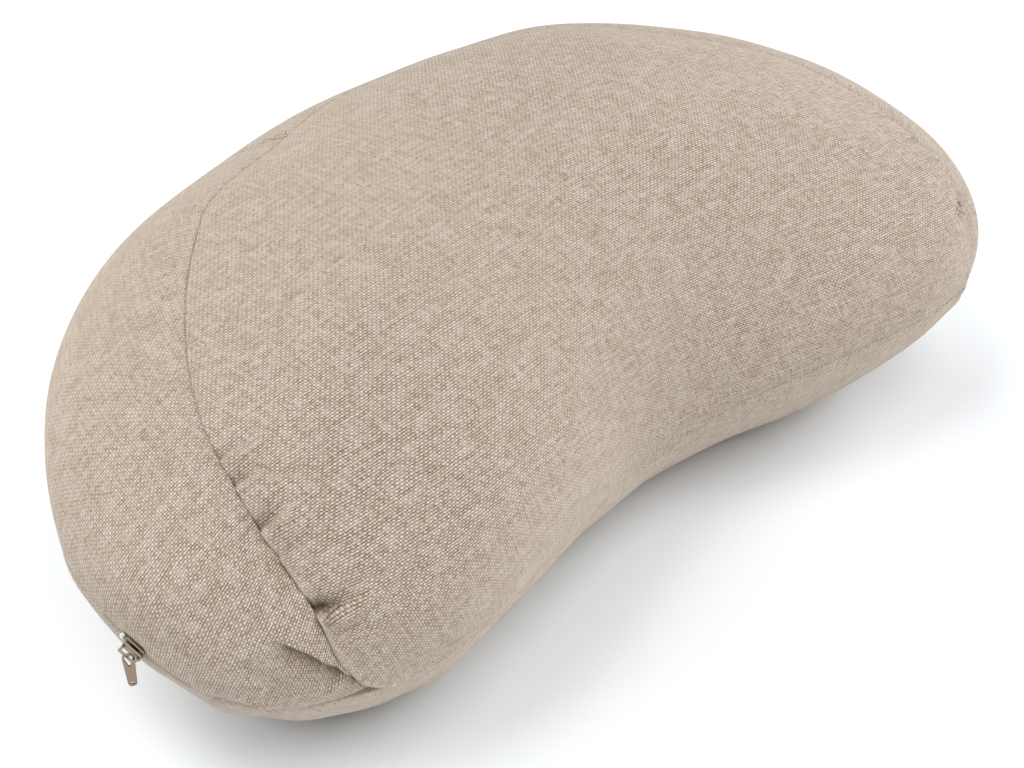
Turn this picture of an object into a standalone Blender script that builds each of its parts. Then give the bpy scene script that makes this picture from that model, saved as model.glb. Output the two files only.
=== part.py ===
"""Crescent meditation cushion (zafu), life size, metres, +Z up.

The cover is sewn from three panels: a crescent top, a crescent base and a lens-shaped band round the
convex side, which tapers to nothing at the two horns. On the concave side the top meets the base in one
seam. The filled cover is one solid. A short zip, with its slider, pull and end stops, shows in the lower
seam at the left end.

X runs along the length, the concave side faces -Y, and the cushion lies on Z = 0.
"""

import math

import bmesh
import bpy
import numpy as np
from mathutils import Matrix, Vector

MM = 0.001
GAP = 0.3  # mm between pieces that touch

# ---- the filled cover, in mm -------------------------------------------------------------------
HEIGHT = 168.0  # floor to the top of the crown
CROWN_AT = (2.0, 40.0)  # plan position of the crown's highest point
CORE = (185.0, 104.0)  # half axes of the ellipse that the level contours turn into towards the crown
CORE_FADE = 1.6  # how soon they leave it for the kidney outline of the rim
FLAT_BLEND = 9.0  # height over which the side turns into the flat resting face

# One row for each direction round the plan, measured from +X towards the convex side.
# reach: plan radius where the cushion is fullest; girth: that height;
# crown and base: roundness of the section above and below it (2 is an ellipse, less is more pinched);
# settle: how far the rounded base would reach below the floor if the filling did not flatten it.
SECTION_COLUMNS = ("angle", "reach", "girth", "crown", "base", "settle")
SECTIONS = (
    (0.0, 224, 86, 2.12, 2.11, 45),
    (22.5, 200, 92, 2.18, 2.24, 30),
    (45.0, 171, 90, 2.31, 2.28, 30),
    (67.5, 143, 89, 2.38, 2.28, 30),
    (90.0, 136, 87, 2.31, 2.28, 30),
    (112.5, 143, 89, 2.37, 2.28, 30),
    (135.0, 171, 90, 2.22, 2.28, 30),
    (157.5, 200, 97, 2.34, 2.31, 30),
    (180.0, 223, 83, 2.14, 1.87, 45),
    (202.5, 203, 79, 2.16, 2.00, 72),
    (225.0, 117, 77, 2.25, 2.15, 42),
    (247.5, 74, 64, 2.30, 2.00, 30),
    (270.0, 64, 62, 2.32, 1.91, 30),
    (292.5, 73, 65, 2.30, 1.96, 30),
    (315.0, 122, 75, 2.25, 1.87, 45),
    (337.5, 210, 75, 2.12, 1.80, 72),
)

# Heights of the two seams round the cover. The lower one ends at the horns; between them, on the concave
# side, "lower" only says how far down the mesh keeps its finer rows.
SEAM_COLUMNS = ("angle", "upper", "lower")
SEAMS = (
    (0.0, 140, 81),
    (6.0, 146, 81),
    (20.0, 153, 80),
    (45.0, 155, 77),
    (90.0, 156, 75),
    (130.0, 156, 77),
    (160.0, 153, 81),
    (167.0, 150, 82),
    (174.0, 145, 82),
    (182.0, 138, 80),
    (189.0, 131, 71),
    (195.0, 124, 57),
    (198.0, 118, 52),
    (201.0, 110, 50),
    (203.5, 97, 53),
    (205.4, 73, 53),
    (207.2, 60, 52),
    (209.5, 52, 50),
    (216.0, 50, 38),
    (226.0, 51, 36),
    (247.0, 51, 34),
    (270.0, 47, 32),
    (285.0, 50, 34),
    (298.0, 59, 43),
    (311.0, 68, 53),
    (320.0, 72, 60),
    (330.5, 70, 65),
    (334.4, 89, 64),
    (336.2, 101, 64),
    (340.0, 114, 64),
    (345.0, 124, 68),
    (352.0, 133, 77),
)
HORN_ANGLE = 209.5  # the left horn; the right one is nearly its mirror image
HORN_FADE = 4.5  # degrees over which the band's seam and fold run out at a horn

SEAM_DEPTH = 1.6  # how far a seam is drawn in
SEAM_SPREAD = 5.5  # how quickly the cloth rises again beside it
SEAM_STOP = 4.0  # how soon a gather or a tuck ends on the far side of its seam

# Gathers in the top panel beside the upper seam, at the left end; the right end mirrors them.
# lean: degrees that a trough moves towards the horn over its length.
GATHER_COLUMNS = ("angle", "length", "depth", "width", "lean")
GATHERS = (
    (184.5, 13, 0.9, 2.8, 1.5),
    (191.7, 19, 1.7, 3.0, 2.6),
    (194.4, 22, 1.9, 3.0, 2.4),
    (198.0, 24, 2.4, 3.0, 2.6),
    (200.2, 25, 2.0, 3.2, 2.6),
    (203.3, 26, 4.2, 3.6, 2.6),
)

# The band's fold just before a horn: a step that starts under the upper seam and runs into it.
FOLD_FROM = 199.2  # angle where it starts
FOLD_TO = 205.6  # angle where it meets the upper seam
FOLD_DROP = 20.0  # its distance below the upper seam where it starts
FOLD_DEPTH = 4.5
FOLD_STEP = 3.0  # distance over which it drops
FOLD_REACH = 17.0  # how far below the step the cloth comes out again

# A short tuck in the band, down from the upper seam, at the left of the convex side.
TUCK_ANGLE = 130.3
TUCK_LENGTH = 17.0
TUCK_DEPTH = 2.6
TUCK_WIDTH = 3.0

TOP_ROWS = 16  # crown to the upper seam
BAND_ROWS = 9  # upper seam to the lower one
BASE_ROWS = 13  # lower seam to the middle of the base
WIDE_STEP = 3.6  # degrees between columns
FINE_STEP = 1.25  # degrees between columns where there is more detail
FINE_ENDS = (181.0, 211.0)  # where the gathers are
FINE_TUCK = (126.5, 132.5)  # where the tuck is

# ---- the zip, in mm ----------------------------------------------------------------------------
SLIDER_ANGLE = 187.6
SLIDER_LENGTH = 7.8
SLIDER_WIDTH = 5.4
SLIDER_PLATE = 0.8  # thickness of each of its two plates
SLIDER_MOUTH = 0.8  # height between them
SLIDER_SEAT = 1.1  # underside above the bottom of the seam
SLIDER_BEVEL = 0.22
NECK_LENGTH = 3.1  # the block that holds the plates apart
NECK_WIDTH = 1.6
SINK = 0.25  # how far its boxes reach into each other before they are joined
BRIDGE_LENGTH = 7.3
BRIDGE_WIDTH = 1.3
BRIDGE_THICK = 0.8
BRIDGE_GAP = 1.6  # clear height under it
BRIDGE_POST = 0.8  # length of each of its two posts
PULL_LENGTH = 16.5
PULL_TOP_WIDTH = 4.0
PULL_FOOT_WIDTH = 2.9
PULL_THICK = 0.7
PULL_BEVEL = 0.12
PULL_TURN = 45.0  # how far the hanging pull has swung towards the horn side
PULL_SLACK = 0.7  # the bridge's upper edge to the eye: the seam slopes, so the bridge does too
PULL_SHIFT = 0.8  # how far it hangs from the bridge's middle, towards the horn
EYE_LENGTH = 5.2
EYE_WIDTH = 2.8
EYE_TIP = 0.6  # width of its narrow end
EYE_MARGIN = 0.9  # metal above it
FOOT_HOLE = 1.2  # diameter
FOOT_MARGIN = 1.15  # metal below it
ARC_STEPS = 8  # straight pieces in a half round
COIL_WIDTH = 2.2
COIL_THICK = 1.1
COIL_SEAT = 0.7  # underside above the bottom of the seam
COIL_FROM = 188.9  # angles between which it shows
COIL_TO = 192.7
COIL_STEPS = 10
COIL_SIDES = 10
STOP_LENGTH = 1.6
STOP_WIDTH = 1.3
STOP_HEIGHT = 1.5
STOP_BEVEL = 0.25
STOP_ANGLE = 186.2

# Moves the plan, mm, so that the whole part is centred on the origin.
CENTRE = (0.96, -21.3)

LINEN = (0.58, 0.49, 0.40, 1.0)
BRONZE = (0.24, 0.19, 0.15, 1.0)
NICKEL = (0.62, 0.60, 0.57, 1.0)
NYLON = (0.40, 0.33, 0.26, 1.0)


def clear_scene():
    for item in list(bpy.data.objects):
        bpy.data.objects.remove(item, do_unlink=True)


def material(name, colour, roughness, metallic=0.0):
    made = bpy.data.materials.new(name)
    made.use_nodes = True
    shader = made.node_tree.nodes["Principled BSDF"]
    shader.inputs["Base Color"].default_value = colour
    shader.inputs["Roughness"].default_value = roughness
    shader.inputs["Metallic"].default_value = metallic
    made.diffuse_color = colour
    return made


def column(table, names, wanted):
    """One column of a table as an array."""
    return np.array([row[names.index(wanted)] for row in table], dtype=float)


def round_spline(knots, values):
    """A smooth closed curve through values at knots, in degrees, as a function of the angle."""
    steps = np.diff(np.append(knots, knots[0] + 360.0))
    slopes = (np.roll(values, -1) - values) / steps
    count = len(knots)
    system = np.zeros((count, count))
    for k in range(count):
        before = steps[k - 1]
        system[k, k - 1] += steps[k]
        system[k, k] += 2.0 * (before + steps[k])
        system[k, (k + 1) % count] += before
    right = 3.0 * (steps * np.roll(slopes, 1) + np.roll(steps, 1) * slopes)
    return hermite(knots, values, np.linalg.solve(system, right))


def plain_curve(knots, values):
    """As round_spline, but it never swings past its rows: for seams with sharp turns."""
    steps = np.diff(np.append(knots, knots[0] + 360.0))
    slopes = (np.roll(values, -1) - values) / steps
    before = np.roll(slopes, 1)
    weight_before = np.roll(steps, 1) + 2.0 * steps
    weight_after = 2.0 * np.roll(steps, 1) + steps
    same_way = before * slopes > 0.0
    safe = np.where(same_way, before * slopes, 1.0)
    mean = safe * (weight_before + weight_after) / (weight_before * slopes + weight_after * before + 1e-12)
    return hermite(knots, values, np.where(same_way, mean, 0.0))


def hermite(knots, values, tangents):
    def at(angle):
        angle = np.asarray(angle, dtype=float) % 360.0
        k = np.searchsorted(knots, angle, side="right") - 1
        after = (k + 1) % len(knots)
        step = (knots[after] - knots[k]) % 360.0
        s = (angle - knots[k]) / step
        return (
            values[k] * (1 + 2 * s) * (1 - s) ** 2
            + values[after] * s * s * (3 - 2 * s)
            + step * s * (1 - s) * (tangents[k] * (1 - s) - tangents[after] * s)
        )

    return at


ANGLES = column(SECTIONS, SECTION_COLUMNS, "angle")
REACH, GIRTH, CROWN, BASE, SETTLE = (
    round_spline(ANGLES, column(SECTIONS, SECTION_COLUMNS, name)) for name in SECTION_COLUMNS[1:]
)
SEAM_ANGLES = column(SEAMS, SEAM_COLUMNS, "angle")
UPPER, LOWER = (plain_curve(SEAM_ANGLES, column(SEAMS, SEAM_COLUMNS, name)) for name in SEAM_COLUMNS[1:])


def plain_point(angle, turn):
    """A point of the smooth cover. turn goes from 0 at the crown's top over 90 at the girth to 180 below."""
    angle, turn = np.broadcast_arrays(np.asarray(angle, float), np.asarray(turn, float))
    girth = GIRTH(angle)
    above = turn < 90.0
    power = 2.0 / np.where(above, CROWN(angle), BASE(angle))
    out = np.clip(np.sin(np.radians(turn)), 0.0, 1.0) ** power
    up = np.abs(np.cos(np.radians(turn))) ** power
    share = out**CORE_FADE
    across, deep = np.cos(np.radians(angle)), np.sin(np.radians(angle))
    x = CROWN_AT[0] + out * ((1 - share) * CORE[0] * across + share * (REACH(angle) * across - CROWN_AT[0]))
    y = CROWN_AT[1] + out * ((1 - share) * CORE[1] * deep + share * (REACH(angle) * deep - CROWN_AT[1]))
    z = np.where(above, girth + (HEIGHT - girth) * up, girth - (girth + SETTLE(angle)) * up)
    return np.stack([x, y, flatten(z)], axis=-1)


def flatten(z):
    """Turns heights below the floor into the flat resting face, with a rounded edge."""
    blended = (z + FLAT_BLEND) ** 2 / (4.0 * FLAT_BLEND)
    return np.where(z >= FLAT_BLEND, z, np.where(z <= -FLAT_BLEND, 0.0, blended))


def turn_at(angle, height):
    """The turn at which the smooth section passes a height, for a seam."""
    girth = GIRTH(angle)
    above = height >= girth
    deep = girth + SETTLE(angle)
    share = np.where(above, (height - girth) / (HEIGHT - girth), (girth - height) / deep)
    power = np.where(above, CROWN(angle), BASE(angle)) / 2.0
    lean = np.degrees(np.arccos(np.clip(share, 0.0, 1.0) ** power))
    return np.where(above, lean, 180.0 - lean)


def column_angles():
    """Directions of the mesh columns, closer together at the gathers and the tuck."""
    found, angle = [], 0.0
    while angle < 360.0 - 0.5 * FINE_STEP:
        found.append(angle)
        folded = 540.0 - angle if angle > 270.0 else angle
        fine = FINE_ENDS[0] <= folded <= FINE_ENDS[1] or FINE_TUCK[0] <= angle <= FINE_TUCK[1]
        angle += FINE_STEP if fine else WIDE_STEP
    return np.array(found)


def row_turns(angle):
    """Turns of the mesh rows of one column or more: finer beside both seams."""
    upper = turn_at(angle, UPPER(angle))[:, None]
    lower = turn_at(angle, LOWER(angle))[:, None]
    top = upper * (1.0 - (1.0 - np.arange(1, TOP_ROWS) / TOP_ROWS) ** 1.5)
    band = upper + (lower - upper) * (0.5 - 0.5 * np.cos(np.pi * np.arange(BAND_ROWS + 1) / BAND_ROWS))
    base = lower + (180.0 - lower) * (np.arange(1, BASE_ROWS) / BASE_ROWS) ** 1.4
    return np.concatenate([top, band, base], axis=1)


def mirrored(angle):
    """The direction of the left half that matches one of the right half."""
    angle = np.asarray(angle, float) % 360.0
    return np.where((angle > 270.0) | (angle < 90.0), (540.0 - angle) % 360.0, angle)


def smooth_step(x):
    x = np.clip(x, 0.0, 1.0)
    return x * x * (3.0 - 2.0 * x)


def drawn_in(angle, from_upper, from_lower):
    """How far the cloth is drawn in, in mm, for distances above (+) or below (-) the two seams."""
    left = mirrored(angle)
    band_left = smooth_step((HORN_ANGLE + 0.5 * HORN_FADE - left) / HORN_FADE)
    depth = SEAM_DEPTH * np.exp(-np.abs(from_upper) / SEAM_SPREAD)
    depth = np.maximum(depth, SEAM_DEPTH * band_left * np.exp(-np.abs(from_lower) / SEAM_SPREAD))
    for at, length, deep, width, lean in GATHERS:
        share = from_upper / length
        across = np.radians(left - at - lean * np.clip(share, -0.5, 2.0)) * REACH(angle)
        along = np.where(from_upper > 0.0, share, from_upper / SEAM_STOP)
        depth = depth + deep * np.exp(-((across / width) ** 2)) * np.exp(-(along**2))
    run = np.clip((left - FOLD_FROM) / (FOLD_TO - FOLD_FROM), 0.0, 1.0)
    below = -from_upper - FOLD_DROP * (1.0 - run**2)
    step = smooth_step(below / FOLD_STEP) * np.exp(-np.clip(below, 0.0, None) / FOLD_REACH)
    depth = depth + FOLD_DEPTH * smooth_step(run) * band_left * step
    across = np.radians(angle - TUCK_ANGLE) * REACH(angle)
    along = np.where(from_upper < 0.0, from_upper / TUCK_LENGTH, from_upper / SEAM_STOP)
    return depth + TUCK_DEPTH * np.exp(-((across / TUCK_WIDTH) ** 2)) * np.exp(-(along**2))


def cover_grid():
    """Points of the cover, one column for each direction, without the crown's top and the base's middle."""
    angles = column_angles()
    turns = row_turns(angles)
    grid = plain_point(angles[:, None], turns)
    across = np.roll(grid, -1, axis=0) - np.roll(grid, 1, axis=0)
    down = np.gradient(grid, axis=1)
    normals = np.cross(down, across)
    normals /= np.linalg.norm(normals, axis=-1, keepdims=True)
    run = np.cumsum(np.linalg.norm(np.diff(grid, axis=1, prepend=grid[:, :1]), axis=-1), axis=1)
    upper_row = TOP_ROWS - 1
    from_upper = run[:, upper_row : upper_row + 1] - run
    from_lower = run[:, upper_row + BAND_ROWS : upper_row + BAND_ROWS + 1] - run
    depth = drawn_in(angles[:, None], from_upper, from_lower)
    return grid - normals * depth[..., None]


def new_object(name, mesh, coat):
    mesh.materials.append(coat)
    made = bpy.data.objects.new(name, mesh)
    bpy.context.scene.collection.objects.link(made)
    return made


def to_world(point):
    return Vector(((point[0] + CENTRE[0]) * MM, (point[1] + CENTRE[1]) * MM, point[2] * MM))


def make_cushion(coat):
    """The filled cover as one closed skin: a fan at the crown, rows of quads, a fan in the base."""
    grid = cover_grid()
    columns, rows = grid.shape[:2]
    shape = bmesh.new()
    ring = [[shape.verts.new(to_world(grid[c, r])) for r in range(rows)] for c in range(columns)]
    top = shape.verts.new(to_world((CROWN_AT[0], CROWN_AT[1], HEIGHT)))
    bottom = shape.verts.new(to_world((CROWN_AT[0], CROWN_AT[1], 0.0)))
    for c in range(columns):
        here, after = ring[c], ring[(c + 1) % columns]
        shape.faces.new((top, here[0], after[0]))
        for r in range(rows - 1):
            shape.faces.new((here[r], here[r + 1], after[r + 1], after[r]))
        shape.faces.new((here[-1], bottom, after[-1]))
    mesh = bpy.data.meshes.new("cushion")
    shape.to_mesh(mesh)
    shape.free()
    mesh.shade_smooth()
    new_object("cushion", mesh, coat)


def seam_frame(angle):
    """Place on the lower seam: its bottom in mm, then the ways along it, up across it and outwards."""
    height = LOWER(angle)
    point = plain_point(angle, turn_at(angle, height))
    before, after = (plain_point(a, turn_at(a, LOWER(a))) for a in (angle - 0.5, angle + 0.5))
    turn = turn_at(angle, height)
    over, under = plain_point(angle, turn - 1.5), plain_point(angle, turn + 1.5)
    along = Vector(after - before).normalized()
    out = along.cross(Vector(over - under)).normalized()
    if out.x > 0.0:
        out.negate()
    across = out.cross(along)
    if across.z < 0.0:
        across.negate()
    return Vector(point) - out * SEAM_DEPTH, along, across, out


def seam_matrix(angle, lift):
    """Axes X along the seam, Y across it and Z outwards, with the origin lifted off the seam's bottom."""
    point, along, across, out = seam_frame(angle)
    turned = Matrix((along, out.cross(along), out)).transposed().to_4x4()
    return Matrix.Translation(to_world(point + out * lift)) @ turned


def add_box(shape, centre, size, bevel):
    """A bevelled box, sizes in mm, into a bmesh."""
    made = bmesh.ops.create_cube(shape, size=1.0)["verts"]
    bmesh.ops.scale(shape, vec=Vector(size) * MM, verts=made)
    bmesh.ops.translate(shape, vec=Vector(centre) * MM, verts=made)
    edges = {edge for vertex in made for edge in vertex.link_edges}
    bmesh.ops.bevel(shape, geom=list(edges), offset=bevel * MM, segments=2, affect="EDGES", profile=0.6)


def box_object(name, boxes, bevel, coat, matrix):
    """Boxes that overlap, joined into one body by Boolean unions."""
    made = None
    for number, (centre, size) in enumerate(boxes):
        shape = bmesh.new()
        add_box(shape, centre, size, bevel)
        mesh = bpy.data.meshes.new(f"{name}_{number}")
        shape.to_mesh(mesh)
        shape.free()
        if made is None:
            made = new_object(name, mesh, coat)
            made.matrix_world = matrix
            continue
        cutter = new_object(f"{name}_cutter_{number}", mesh, coat)
        cutter.matrix_world = matrix
        cutter.hide_render = True
        cutter.display_type = "WIRE"
        union = made.modifiers.new(f"join_{number}", "BOOLEAN")
        union.operation = "UNION"
        union.object = cutter


def make_slider(coat):
    """Two plates on a neck, with the bridge that carries the pull."""
    top = 2.0 * SLIDER_PLATE + SLIDER_MOUTH
    bridge_top = top + BRIDGE_GAP + BRIDGE_THICK
    boxes = [
        ((0, 0, 0.5 * SLIDER_PLATE), (SLIDER_LENGTH, SLIDER_WIDTH, SLIDER_PLATE)),
        ((0, 0, top - 0.5 * SLIDER_PLATE), (SLIDER_LENGTH, SLIDER_WIDTH, SLIDER_PLATE)),
        ((0, 0, 0.5 * top), (NECK_LENGTH, NECK_WIDTH, top - SINK)),
        ((0, 0, bridge_top - 0.5 * BRIDGE_THICK), (BRIDGE_LENGTH, BRIDGE_WIDTH, BRIDGE_THICK)),
    ]
    for side in (-1, 1):
        x = side * 0.5 * (BRIDGE_LENGTH - BRIDGE_POST)
        size = (BRIDGE_POST, BRIDGE_WIDTH - SINK, bridge_top - top)
        boxes.append(((x, 0, 0.5 * (top + bridge_top) - SINK), size))
    box_object("zip_slider", boxes, SLIDER_BEVEL, coat, seam_matrix(SLIDER_ANGLE, SLIDER_SEAT))


def plate_object(name, points, thick, coat):
    """A closed outline in mm, extruded to a thickness about its own plane."""
    shape = bmesh.new()
    ring = [shape.verts.new((x * MM, y * MM, -0.5 * thick * MM)) for x, y in points]
    pushed = bmesh.ops.extrude_face_region(shape, geom=[shape.faces.new(ring)])["geom"]
    moved = [item for item in pushed if isinstance(item, bmesh.types.BMVert)]
    bmesh.ops.translate(shape, vec=(0.0, 0.0, thick * MM), verts=moved)
    bmesh.ops.recalc_face_normals(shape, faces=shape.faces)
    mesh = bpy.data.meshes.new(name)
    shape.to_mesh(mesh)
    shape.free()
    return new_object(name, mesh, coat)


def half_round(radius, centre, start):
    """Points of a half circle about (0, centre), anticlockwise from the start angle."""
    turns = (start + math.pi * k / ARC_STEPS for k in range(ARC_STEPS + 1))
    return [(radius * math.cos(turn), centre + radius * math.sin(turn)) for turn in turns]


def pull_outline():
    """Round head and foot joined by straight, tapering sides; the head's top is at y = 0."""
    head, foot = 0.5 * PULL_TOP_WIDTH, 0.5 * PULL_FOOT_WIDTH
    return half_round(head, -head, 0.0) + half_round(foot, foot - PULL_LENGTH, math.pi)


def eye_outline():
    """The teardrop eye: a half round under the head that closes to a narrow end."""
    radius, end = 0.5 * EYE_WIDTH, -EYE_MARGIN - EYE_LENGTH
    return half_round(radius, -EYE_MARGIN - radius, 0.0) + [(-0.5 * EYE_TIP, end), (0.5 * EYE_TIP, end)]


def foot_hole_outline():
    radius = 0.5 * FOOT_HOLE
    centre = FOOT_MARGIN + radius - PULL_LENGTH
    return half_round(radius, centre, 0.0) + half_round(radius, centre, math.pi)[1:-1]


def make_pull(coat):
    """The pull hangs plumb from the bridge, which passes through its eye."""
    pull = plate_object("zip_pull", pull_outline(), PULL_THICK, coat)
    for number, hole in enumerate((eye_outline(), foot_hole_outline())):
        cutter = plate_object(f"zip_pull_cutter_{number}", hole, 3.0 * PULL_THICK, coat)
        cutter.hide_render = True
        cutter.display_type = "WIRE"
        cut = pull.modifiers.new(f"hole_{number}", "BOOLEAN")
        cut.operation = "DIFFERENCE"
        cut.object = cutter
        cutter.parent = pull
    bevel = pull.modifiers.new("soft_edges", "BEVEL")
    bevel.width = PULL_BEVEL * MM
    bevel.segments = 1
    bevel.limit_method = "ANGLE"
    point, along, _, out = seam_frame(SLIDER_ANGLE)
    level_along = Vector((along.x, along.y, 0.0)).normalized()
    level_out = Vector((out.x, out.y, 0.0)).normalized()
    turn = math.radians(PULL_TURN)
    width_axis = level_along * math.cos(turn) - level_out * math.sin(turn)
    up = Vector((0.0, 0.0, 1.0))
    face = width_axis.cross(up)
    bridge = SLIDER_SEAT + 2.0 * SLIDER_PLATE + SLIDER_MOUTH + BRIDGE_GAP + 0.5 * BRIDGE_THICK
    towards_horn = along if along.y < 0.0 else -along
    rest = point + out * bridge + towards_horn * PULL_SHIFT
    rest = rest + up * (0.5 * BRIDGE_WIDTH + PULL_SLACK + EYE_MARGIN)
    turned = Matrix((width_axis, up, face)).transposed().to_4x4()
    pull.matrix_world = Matrix.Translation(to_world(rest)) @ turned


def make_coil(coat):
    """The closed coil between the lips of the seam: a rounded strip that follows it."""
    half_width, half_thick = 0.5 * COIL_WIDTH, 0.5 * COIL_THICK
    turns = [2.0 * math.pi * (k + 0.5) / COIL_SIDES for k in range(COIL_SIDES)]
    sides = [(half_width * math.cos(turn), half_thick * math.sin(turn)) for turn in turns]
    shape = bmesh.new()
    rings = []
    for step in range(COIL_STEPS + 1):
        point, _, across, out = seam_frame(COIL_FROM + (COIL_TO - COIL_FROM) * step / COIL_STEPS)
        middle = point + out * (COIL_SEAT + half_thick)
        rings.append([shape.verts.new(to_world(middle + across * a + out * b)) for a, b in sides])
    for first, second in zip(rings, rings[1:]):
        for k in range(len(sides)):
            after = (k + 1) % len(sides)
            shape.faces.new((first[k], first[after], second[after], second[k]))
    shape.faces.new(rings[0])
    shape.faces.new(rings[-1])
    bmesh.ops.recalc_face_normals(shape, faces=shape.faces)
    mesh = bpy.data.meshes.new("zip_coil")
    shape.to_mesh(mesh)
    shape.free()
    new_object("zip_coil", mesh, coat)


def make_stops(coat):
    """Two end stops side by side, one on each tape, behind the slider."""
    for name, side in (("zip_stop_upper", 1), ("zip_stop_lower", -1)):
        centre = (0.0, side * 0.5 * (STOP_WIDTH + GAP), 0.5 * STOP_HEIGHT)
        boxes = [(centre, (STOP_LENGTH, STOP_WIDTH, STOP_HEIGHT))]
        box_object(name, boxes, STOP_BEVEL, coat, seam_matrix(STOP_ANGLE, COIL_SEAT))


def main():
    clear_scene()
    bronze = material("bronzed_zinc", BRONZE, 0.38, 1.0)
    make_cushion(material("linen", LINEN, 0.9))
    make_slider(bronze)
    make_pull(bronze)
    make_coil(material("nylon_coil", NYLON, 0.6))
    make_stops(material("bright_stop", NICKEL, 0.3, 1.0))


main()
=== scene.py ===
# %% [markdown]
# # A crescent meditation cushion in natural linen
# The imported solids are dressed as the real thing. The filled cushion is replaced by its sewn cover: a
# crescent top, a lens-shaped band round the convex side and a crescent base, each with its own flat
# pattern, so that the threads run as on cloth that was cut flat. Sizes are in millimetres until a mesh is
# made.

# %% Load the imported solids
import math
from functools import partial

import bpy
import numpy as np
from mathutils import Matrix, Vector
from mathutils.kdtree import KDTree


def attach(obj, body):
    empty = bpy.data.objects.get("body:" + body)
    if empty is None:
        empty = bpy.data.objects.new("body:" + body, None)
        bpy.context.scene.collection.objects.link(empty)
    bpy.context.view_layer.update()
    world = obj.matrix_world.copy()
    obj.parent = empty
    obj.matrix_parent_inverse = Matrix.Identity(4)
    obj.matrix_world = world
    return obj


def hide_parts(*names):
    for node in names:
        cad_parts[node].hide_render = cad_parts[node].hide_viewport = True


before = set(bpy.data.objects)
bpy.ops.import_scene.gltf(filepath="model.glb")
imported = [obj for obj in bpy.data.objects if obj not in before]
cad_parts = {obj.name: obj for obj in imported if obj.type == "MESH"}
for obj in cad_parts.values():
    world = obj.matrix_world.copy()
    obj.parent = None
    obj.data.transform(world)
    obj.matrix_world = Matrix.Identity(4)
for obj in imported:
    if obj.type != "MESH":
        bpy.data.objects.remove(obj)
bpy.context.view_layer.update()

MM = 0.001

# %% [markdown]
# ## Colours and nodes
# Colours are written as sRGB hex, as on a paint chart, and one function turns them to the linear values of
# a shader. One more adds a node with its settings and links, so that a material reads as a list.

# %% Colour and node helpers
MATH, VECTOR_MATH, NOISE = "ShaderNodeMath", "ShaderNodeVectorMath", "ShaderNodeTexNoise"
RANGE, MIX, MIX_COLOURS = "ShaderNodeMapRange", "ShaderNodeMix", {"data_type": "RGBA"}


def linear(hex_colour):
    """An sRGB hex colour as the linear RGBA that shader sockets take."""
    parts = [int(hex_colour[k : k + 2], 16) / 255.0 for k in (1, 3, 5)]
    return tuple(c / 12.92 if c <= 0.04045 else ((c + 0.055) / 1.055) ** 2.4 for c in parts) + (1.0,)


def add(tree, kind, settings=None, *inputs, **named):
    """A node of a kind, its settings made and its sockets filled with values or links.

    A plain word as settings is the node's operation. Inputs go to the sockets in order, or by name, where
    _6 means socket number 6. A node given as an input stands for its first output.
    """
    node = tree.nodes.new(kind)
    for name, value in ({"operation": settings} if isinstance(settings, str) else settings or {}).items():
        setattr(node, name, value)
    in_order = {f"_{k}": value for k, value in enumerate(inputs)}
    for name, value in {**in_order, **named}.items():
        socket = node.inputs[int(name[1:])] if name[1:].isdigit() else node.inputs[name.replace("_", " ")]
        if isinstance(value, bpy.types.Node):
            value = value.outputs[0]
        if isinstance(value, bpy.types.NodeSocket):
            tree.links.new(value, socket)
        else:
            socket.default_value = value
    return node


def new_material(name, colour):
    """A material with a bare Principled shader; returns it with its tree and shader."""
    made = bpy.data.materials.new(name)
    made.use_nodes = True
    made.diffuse_color = linear(colour)
    shader = made.node_tree.nodes["Principled BSDF"]
    shader.inputs["Base Color"].default_value = linear(colour)
    return made, made.node_tree, shader


print("a mid grey, #808080, is", round(linear("#808080")[0], 3), "as linear light")

# %% [markdown]
# ## Camera
# The view looks down at the left horn from the front left. Its lens and place were worked out from the
# outline of a cushion of this size. It leans a little, so its axes are the columns of a matrix.

# %% Place the camera
AZIMUTH, ELEVATION, LEAN = -45.2, 40.1, 3.3  # degrees
DISTANCE = 666.4
TARGET = Vector((-4.54, -4.3, 40.0))
FOCAL_PIXELS = 1521.3  # focal length for a picture 1024 pixels wide
PICTURE_WIDTH = 1024
SENSOR = 36.0

azimuth, elevation, lean = (math.radians(a) for a in (AZIMUTH, ELEVATION, LEAN))
back = Vector((math.sin(azimuth), -math.cos(azimuth), math.tan(elevation))).normalized()
level = Vector((0.0, 0.0, 1.0)).cross(back).normalized()
upright = back.cross(level)
right = level * math.cos(lean) + upright * math.sin(lean)
up = upright * math.cos(lean) - level * math.sin(lean)
view_data = bpy.data.cameras.new("view")
view_data.sensor_width = SENSOR
view_data.lens = FOCAL_PIXELS / PICTURE_WIDTH * SENSOR
camera = bpy.data.objects.new("view", view_data)
bpy.context.scene.collection.objects.link(camera)
turned = Matrix((right, up, back)).transposed().to_4x4()
camera.matrix_world = Matrix.Translation((TARGET + back * DISTANCE) * MM) @ turned
bpy.context.scene.camera = camera
print("camera at", [round(c, 3) for c in camera.matrix_world.translation])

# %% [markdown]
# ## Floor and light
# The cushion stands on white paper among large soft boxes. A picture of a room could light it too, but
# square area lamps have a place and a size that can be read and moved. The strongest stands to the left
# and behind, so the shade falls to the front. Two lamps are kept off the paper, as flags do in a studio:
# they open up the cloth and leave its contact shade. The room is white near the horizon and dim overhead,
# so that the paper runs out into white on every side.

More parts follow.
